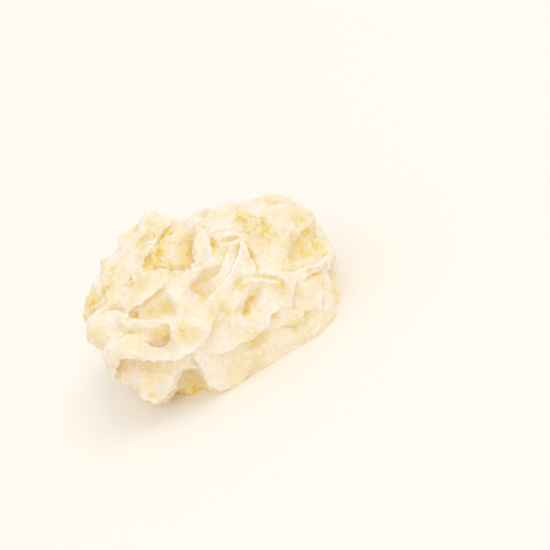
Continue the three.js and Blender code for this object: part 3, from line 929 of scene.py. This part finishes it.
# %% Brown the crust and paint its shade
CREST_HEIGHT = 0.15 * MM, 0.9 * MM
HOLLOW_DEPTH = 0.05 * MM, 1.1 * MM
PIT_DEPTH = 0.05 * MM, 0.5 * MM
RIM_HEIGHT = 0.03 * MM, 0.2 * MM
DIP_DEPTH = 0.02 * MM, 0.12 * MM
FOOT_HEIGHT = 0.3 * MM, 1.3 * MM
PALE_FOOT = 5 * MM, 30 * MM
PATCHY = -0.2, 0.4
CLOUDS = -0.4, 0.4
CLOUD_SPACING = 5 * MM
CLOUD_SHIFT = 31
SPECK_SPACING = 0.9 * MM
SPECK_SHIFT = 11
BROKEN = 0.1, 0.6

crest = ease(standing, *CREST_HEIGHT)
# Hollows, pits and dips mark where painted shade goes, and rims where a painted highlight goes.
hollow = ease(-standing, *HOLLOW_DEPTH)
pits = ease(-raised, *PIT_DEPTH)
rim = ease(edge_height, *RIM_HEIGHT)
dip = ease(-edge_height, *DIP_DEPTH)
foot = 1 - ease(place[:, 2], *FOOT_HEIGHT)
browned_foot = 1 - ease(place[:, 0] - place[:, 1], *PALE_FOOT)
cloudy = ease(mottle(place, CLOUD_SPACING, CLOUD_SHIFT), *CLOUDS)
specks = mottle(place, SPECK_SPACING, SPECK_SHIFT)
broken = ease(rough, *BROKEN)
print("rims:", round(float(rim.mean()), 3), "dips:", round(float(dip.mean()), 3))

# %% [markdown]
# The shares are then added up into one number of toast with painted shade and highlights. Their strengths
# were chosen by comparing renders with the picture.

# %% Add up the toast and the painted shade
PALEST = 0.12
PATCH_TOAST = 0.74
CREST_TOAST = 0.2
FOOT_TOAST = 0.55
# Painted shade in hollows, pits and dips, and a painted highlight on rims; the rest is real browning.
HOLLOW_SHADE = 0.12
CLOUD_TOAST = 0.19
ROUGH_TOAST = 0.05
PIT_SHADE = 0.2
DIP_SHADE = 0.23
RIM_HIGHLIGHT = 0.38
BROKEN_RIM = 0.45
PATCH_DIP_SHADE = 0.25
PATCH_RIM_HIGHLIGHT = 0.3

crest_patches = CREST_TOAST * crest * high * ease(patches, *PATCHY)
# Within a patch, dips are darker as painted shade and rims paler as a painted highlight.
patch_grain_and_shade = PATCH_TOAST + specks * broken + PATCH_DIP_SHADE * dip - PATCH_RIM_HIGHLIGHT * rim
# Painted shade in hollows, pits and dips, added to the real tint of clouds and rough crust.
warmth_and_painted_light = HOLLOW_SHADE * hollow + CLOUD_TOAST * cloudy + ROUGH_TOAST * rough
warmth_and_painted_light += PIT_SHADE * pits * rough + DIP_SHADE * dip
# A painted highlight whitens the rims, less where the crust is broken.
warmth_and_painted_light -= RIM_HIGHLIGHT * rim * (1 - BROKEN_RIM * broken)
warmth_and_painted_light += FOOT_TOAST * browned_foot * foot
toast = np.clip(PALEST + (toast_and_shade_spots + crest_patches) * patch_grain_and_shade + warmth_and_painted_light, 0, 1)
# The stored number holds toast together with painted shade and highlights.
body.data.attributes.new("toast", "FLOAT", "POINT").data.foreach_set("value", toast.astype(np.float32))
print("mean toast:", round(float(toast.mean()), 3))

# %% [markdown]
# Decimate thins the net where it is plain and leaves it where it is finely shaped. The spare meringue under
# the foot is then cut away, and the cut is closed with one flat face, as flat as the baking sheet. The
# cut's own tolerance is set very small, because its usual 0.1 mm would pull nearby crumbs onto the cut.

# %% Thin the net and cut the foot flat
THINNED = 239000
CUT_TOLERANCE = 1e-7

body.data.calc_loop_triangles()
before = len(body.data.loop_triangles)
apply_modifier(body, "DECIMATE", ratio=THINNED / before)
pick(body)
bpy.ops.object.mode_set(mode="EDIT")
bpy.ops.mesh.select_all(action="SELECT")
bpy.ops.mesh.bisect(
    plane_co=(0, 0, 0), plane_no=(0, 0, 1), clear_inner=True, use_fill=True, threshold=CUT_TOLERANCE)
bpy.ops.object.mode_set(mode="OBJECT")
body.data.calc_loop_triangles()
print("body:", before, "triangles, thinned and cut to", len(body.data.loop_triangles))

# %% [markdown]
# The crust is shaded smooth, because its crumbs are shaped finely enough. Only the edge of the foot, where
# the crust meets the flat underside, is marked sharp, so that the shading of the side does not run round
# it.

# %% Shade the crust
ON_THE_SHEET = 0.01 * MM

pick(body)
bpy.ops.object.shade_smooth()
low = places(body)[:, 2] < ON_THE_SHEET
for edge in body.data.edges:
    edge.use_edge_sharp = bool(low[edge.vertices[0]] and low[edge.vertices[1]])
print("sharp edges round the foot:", sum(edge.use_edge_sharp for edge in body.data.edges))

# %% [markdown]
# A material is a tree of nodes. Two small classes keep it readable: one adds nodes and fills their sockets,
# and the other wraps a socket, so that sums on values can be written as plain expressions.

# %% Wrap the material's nodes


class Finish:
    """A material whose nodes are added one by one."""

    def __init__(self, name):
        self.material = bpy.data.materials.new(name)
        self.material.use_nodes = True
        self.tree = self.material.node_tree
        self.shader = self.tree.nodes["Principled BSDF"]

    def node(self, kind, settings=None, inputs=None, output=0):
        """Adds a node, sets it, fills or links its sockets, and gives one of its outputs."""
        node = self.tree.nodes.new(kind)
        for name, value in (settings or {}).items():
            if name == "stops":
                self.set_stops(node.color_ramp.elements, value)
            else:
                setattr(node, name, value)
        self.fill(node, inputs or {})
        return Socket(self, node.outputs[output])

    def set_stops(self, elements, stops):
        """Gives a colour ramp its (place, colour) stops."""
        while len(elements) < len(stops):
            elements.new(1)
        for element, (at, colour) in zip(elements, stops):
            element.position = at
            element.color = (*colour, 1)

    def fill(self, node, inputs):
        """Links a node's sockets, or sets their values."""
        for key, value in inputs.items():
            if isinstance(value, Socket):
                self.tree.links.new(value.socket, node.inputs[key])
            else:
                node.inputs[key].default_value = value


class Socket:
    """A node's output that can stand in plain sums."""

    def __init__(self, finish, socket):
        self.finish = finish
        self.socket = socket

    def maths(self, operation, a, b):
        return self.finish.node("ShaderNodeMath", {"operation": operation}, {0: a, 1: b})

    def __add__(self, other):
        return self.maths("ADD", self, other)

    def __radd__(self, other):
        return self.maths("ADD", other, self)

    def __sub__(self, other):
        return self.maths("SUBTRACT", self, other)

    def __rsub__(self, other):
        return self.maths("SUBTRACT", other, self)

    def __mul__(self, other):
        return self.maths("MULTIPLY", self, other)

    def __rmul__(self, other):
        return self.maths("MULTIPLY", other, self)


print("node helpers:", Finish.__name__, Socket.__name__)

# %% [markdown]
# Baked meringue is dry and matt, with hardly any shine. The stored number of toast, painted shade and
# painted highlight, broken up by fine specks, runs through a ramp from white to brown, and a fine bump adds
# the grit that is smaller than the net. Subsurface scattering could let light sink into the foam, but it
# softens fine crumbs, so the surface is opaque.

# %% Make the baked meringue


def tone(red, green, blue):
    """A screen colour, each part from 11 to 255, as the linear colour that a shader takes."""
    return tuple(((value / 255 + 0.055) / 1.055) ** 2.4 for value in (red, green, blue))


WHITE = tone(253.5, 248, 238)
CREAM = tone(251, 241, 225.5)
STRAW = tone(246.5, 231, 192)
GOLD = tone(245, 223.5, 157)
BROWN = tone(239, 208, 104)
# The ramp's colours give both the browning and the painted shade of hollows and highlight of rims.
BAKED_AND_SHADED = [(0, WHITE), (0.12, CREAM), (0.4, STRAW), (0.74, GOLD), (1, BROWN)]
SPECK_SCALE = 1100.0
SPECKLE = 0.45
GRIT_SCALE = 2200.0
GRIT_BUMP = 0.65
GRIT_DEPTH = 0.0004
DETAIL = 4.0
DRY = 0.85
SHINE = 0.2

meringue = Finish("baked_meringue")
spot = meringue.node("ShaderNodeTexCoord", output="Object")
# Reads the stored toast with its painted shade and highlights.
baked_and_shaded = meringue.node("ShaderNodeAttribute", {"attribute_name": "toast"}, output="Fac")
speck_inputs = {"Vector": spot, "Scale": SPECK_SCALE, "Detail": DETAIL}
speck = meringue.node("ShaderNodeTexNoise", inputs=speck_inputs, output="Fac")
depth = baked_and_shaded + (speck - 0.5) * SPECKLE
colour = meringue.node("ShaderNodeValToRGB", {"stops": BAKED_AND_SHADED}, {"Fac": depth}, "Color")
grit_inputs = {"Vector": spot, "Scale": GRIT_SCALE, "Detail": DETAIL}
grit = meringue.node("ShaderNodeTexNoise", inputs=grit_inputs, output="Fac")
bump_inputs = {"Strength": GRIT_BUMP, "Distance": GRIT_DEPTH, "Height": grit}
bump = meringue.node("ShaderNodeBump", inputs=bump_inputs)
surface = {"Base Color": colour, "Normal": bump, "Roughness": DRY, "Specular IOR Level": SHINE}
meringue.fill(meringue.shader, surface)
body.data.materials.clear()
body.data.materials.append(meringue.material)
print("material:", body.data.materials[0].name, "with", len(meringue.tree.nodes), "nodes")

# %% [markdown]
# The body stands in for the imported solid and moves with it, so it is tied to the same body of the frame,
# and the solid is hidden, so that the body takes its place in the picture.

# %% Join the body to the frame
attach(body, "root")
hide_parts("macaroon")
print("joined:", body.name)

# %% [markdown]
# The stage is a plain, warm white floor. It is large enough to fill the picture, and nearly without shine.

# %% Lay the floor
FLOOR = tone(246, 242, 236)
FLOOR_SIZE = 6
FLOOR_DRY = 0.9
FLOOR_SHINE = 0.1

bpy.ops.mesh.primitive_plane_add(size=FLOOR_SIZE)
floor = bpy.context.object
floor.name = "floor"
floor_finish = Finish("floor")
floor_surface = {"Base Color": (*FLOOR, 1), "Roughness": FLOOR_DRY, "Specular IOR Level": FLOOR_SHINE}
floor_finish.fill(floor_finish.shader, floor_surface)
floor.data.materials.append(floor_finish.material)
print("floor:", FLOOR_SIZE, "m wide")

# %% [markdown]
# The light is soft and comes from all round, with a little more from above and from the front, slightly
# left. Pale meringue and a pale floor pass light to and fro many times, which makes the hollows glow, so
# more bounces than usual are allowed.

# %% Light the stage
SKY = (1.0, 0.985, 0.96, 1)
SKY_STRENGTH = 0.92
LAMP_DISTANCE = 3
LAMPS = {
    "overhead": (FRAME_UP * 0.8 - AWAY * 0.4, 1.6, 14),
    "in front": (-AWAY - FRAME_RIGHT * 0.2 + FRAME_UP * 0.1, 3, 12),
}
BOUNCES = 12

world = bpy.data.worlds.new("studio")
world.use_nodes = True
world.node_tree.nodes["Background"].inputs["Color"].default_value = SKY
world.node_tree.nodes["Background"].inputs["Strength"].default_value = SKY_STRENGTH
bpy.context.scene.world = world

for name, (direction, size, watts) in LAMPS.items():
    bpy.ops.object.light_add(type="AREA", location=direction.normalized() * LAMP_DISTANCE)
    lamp = bpy.context.object
    lamp.name = name
    lamp.rotation_mode = "QUATERNION"
    lamp.rotation_quaternion = (-direction).to_track_quat("-Z", "Y")
    lamp.data.size = size
    lamp.data.energy = watts
bpy.context.scene.view_settings.view_transform = "Standard"
bpy.context.scene.cycles.diffuse_bounces = BOUNCES
print("lamps:", ", ".join(LAMPS))
